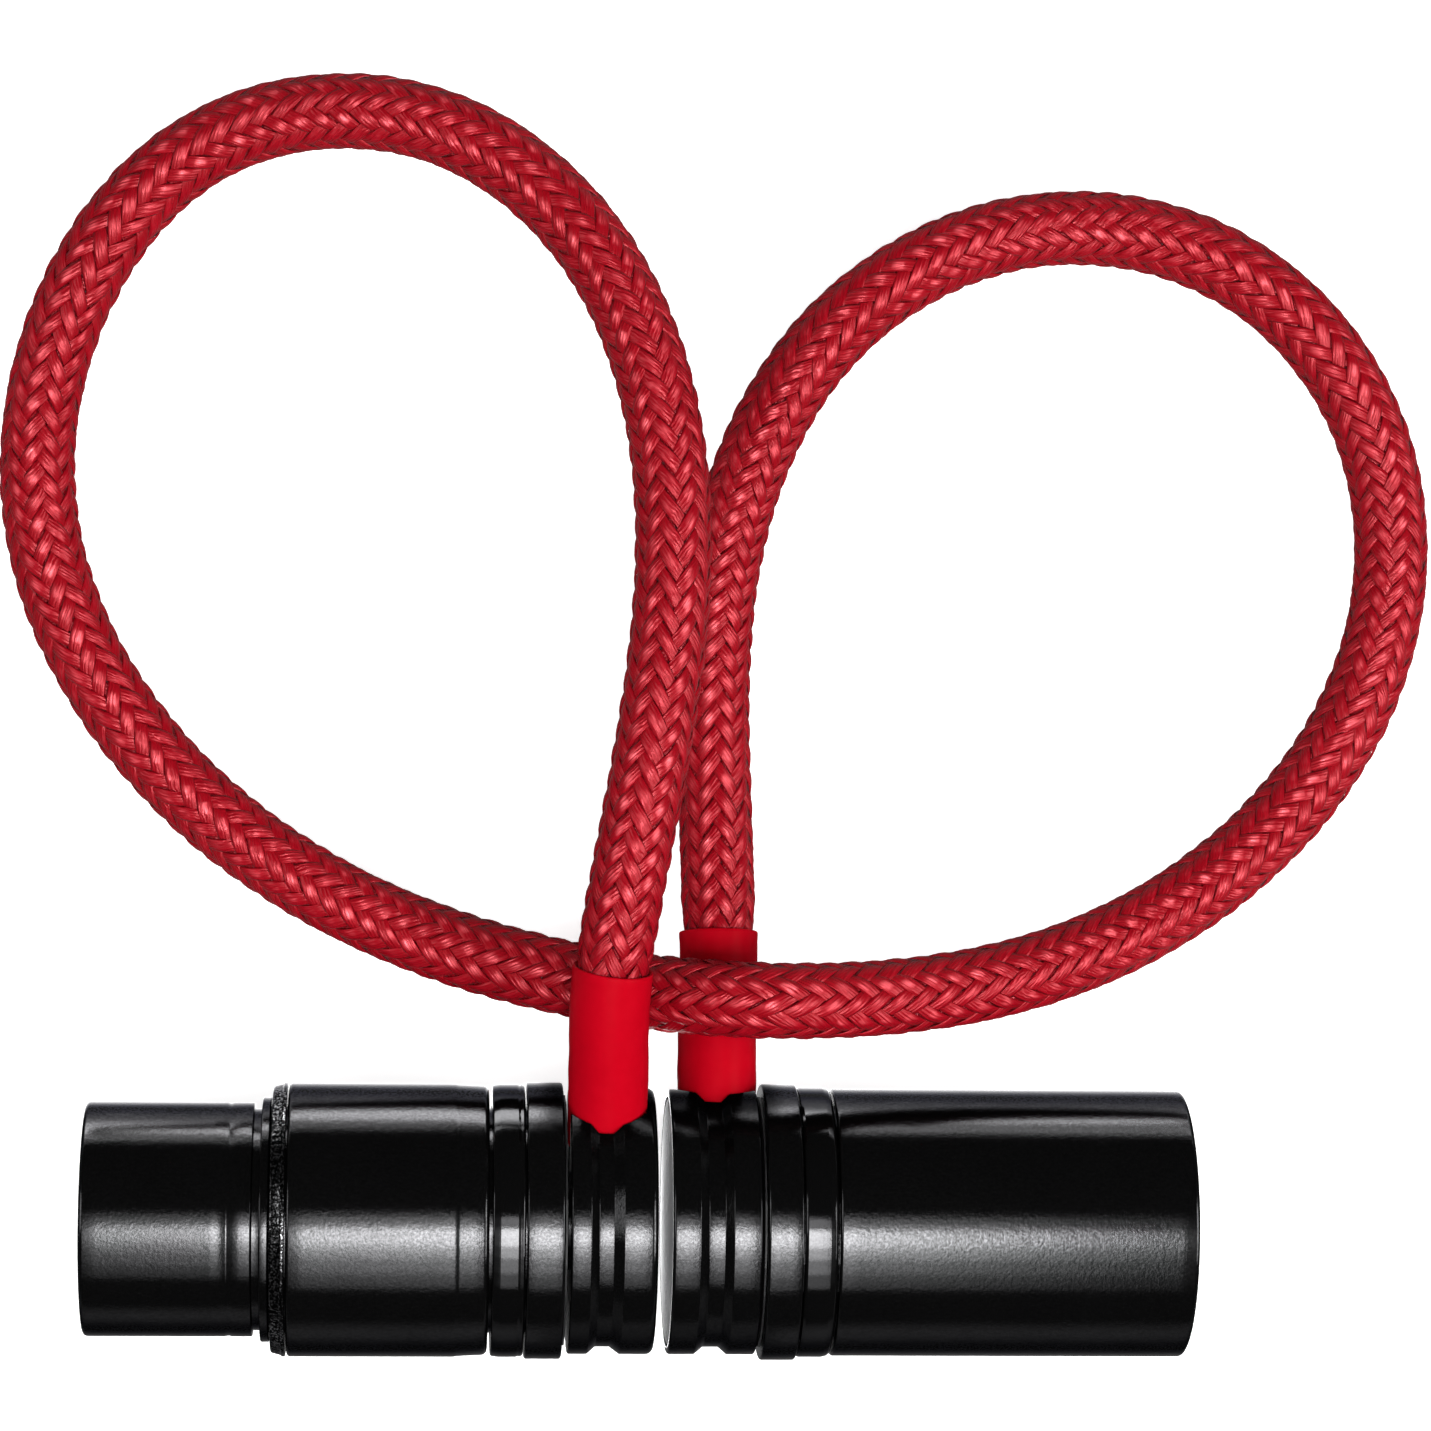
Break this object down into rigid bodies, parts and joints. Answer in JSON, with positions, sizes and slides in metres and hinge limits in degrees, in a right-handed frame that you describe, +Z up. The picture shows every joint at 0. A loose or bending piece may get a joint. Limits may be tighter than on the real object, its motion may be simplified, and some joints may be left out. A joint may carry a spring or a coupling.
{
  "type": "audio cable",
  "caption": "Short braided balanced audio lead with low-profile right-angle plug and socket on three-pin circular connectors, coiled flat.",
  "frame": {"origin": "centre of the overall box in plan, at table level", "axes": "+Z up from the table; +X along both connector axes, from the plug on the left to the socket on the right; +Y from the connectors towards the cable loops"},
  "size_m": [0.118, 0.1042, 0.0231],
  "materials": {
    "black_anodised_aluminium": "satin black anodised, turned",
    "turned_aluminium": "bright turned",
    "spring_steel": "plain",
    "gold_plate": "gold plated",
    "brass": "plain",
    "black_plastic": "matte, glass filled",
    "dark_nylon": "matte",
    "red_shrink": "satin heat-shrink",
    "red_braid": "woven flat yarns",
    "cable_jacket": "matte",
    "wire_bare": "stranded",
    "wire_red": "plain",
    "wire_blue": "plain"
  },
  "bodies": {
    "cable_middle": {"cable_braid_middle": "red_braid", "cable_core_middle": "cable_jacket"},
    "left_loop": {"cable_braid_left_loop": "red_braid", "cable_core_left_loop": "cable_jacket"},
    "male_cap": {"cable_braid_male_tail": "red_braid", "cable_core_male_tail": "cable_jacket", "male_crimp_ring": "brass", "male_end_disc": "turned_aluminium", "male_heat_shrink": "red_shrink", "male_rear_cap": "black_anodised_aluminium"},
    "male_barrel": {"male_barrel": "black_anodised_aluminium", "male_flange_ring": "black_anodised_aluminium", "male_insert": "black_plastic", "male_lock_ring": "black_anodised_aluminium", "male_nose_shell": "black_anodised_aluminium", "male_pin_1": "gold_plate", "male_pin_2": "gold_plate", "male_pin_3": "gold_plate", "male_snap_ring": "spring_steel", "male_swivel_collar": "black_anodised_aluminium", "male_swivel_washer": "dark_nylon", "male_wire_1": "wire_bare", "male_wire_2": "wire_red", "male_wire_3": "wire_blue"},
    "right_loop": {"cable_braid_right_loop": "red_braid", "cable_core_right_loop": "cable_jacket"},
    "female_cap": {"cable_braid_female_tail": "red_braid", "cable_core_female_tail": "cable_jacket", "female_crimp_ring": "brass", "female_end_disc": "turned_aluminium", "female_heat_shrink": "red_shrink", "female_rear_cap": "black_anodised_aluminium"},
    "female_barrel": {"female_barrel": "black_anodised_aluminium", "female_chassis": "black_anodised_aluminium", "female_contact_1": "gold_plate", "female_contact_2": "gold_plate", "female_contact_3": "gold_plate", "female_insert": "black_plastic", "female_latch_pin": "spring_steel", "female_latch_spring": "spring_steel", "female_lock_ring": "black_anodised_aluminium", "female_snap_ring": "spring_steel", "female_swivel_collar": "black_anodised_aluminium", "female_swivel_washer": "dark_nylon", "female_wire_1": "wire_bare", "female_wire_2": "wire_red", "female_wire_3": "wire_blue"},
    "latch": {"female_latch_button": "black_anodised_aluminium", "female_latch_lever": "spring_steel"}
  },
  "joints": [
    {"name": "left_loop_flex", "type": "hinge", "parent": "cable_middle", "child": "left_loop", "pos_m": [-0.05586, 0.02341, 0.00816], "axis": [0, 0, -1], "range_deg": [0, 30], "stiffness_Nm_per_rad": 0.12},
    {"name": "male_cable_flex", "type": "hinge", "parent": "left_loop", "child": "male_cap", "pos_m": [-0.00805, -0.01296, 0.01997], "axis": [-1, 0, 0], "range_deg": [0, 45], "stiffness_Nm_per_rad": 0.12},
    {"name": "male_barrel_swivel", "type": "hinge", "parent": "male_cap", "child": "male_barrel", "pos_m": [-0.01245, -0.04081, 0.0112], "axis": [1, 0, 0], "range_deg": [-90, 90]},
    {"name": "right_loop_flex", "type": "hinge", "parent": "cable_middle", "child": "right_loop", "pos_m": [0.05597, 0.0156, 0.00631], "axis": [0, 0, 1], "range_deg": [0, 15], "stiffness_Nm_per_rad": 0.12},
    {"name": "female_cable_flex", "type": "hinge", "parent": "right_loop", "child": "female_cap", "pos_m": [-0.00013, -0.01029, 0.00678], "axis": [0, 0, 1], "range_deg": [0, 12], "stiffness_Nm_per_rad": 0.12},
    {"name": "female_barrel_swivel", "type": "hinge", "parent": "female_cap", "child": "female_barrel", "pos_m": [0.00325, -0.04086, 0.0112], "axis": [1, 0, 0], "range_deg": [-90, 90]},
    {"name": "female_latch_press", "type": "hinge", "parent": "female_barrel", "child": "latch", "pos_m": [0.01285, -0.0453, 0.00591], "axis": [0, -0.766, 0.6428], "range_deg": [0, 3.5], "stiffness_Nm_per_rad": 0.05, "deforming": ["female_latch_spring"]}
  ]
}
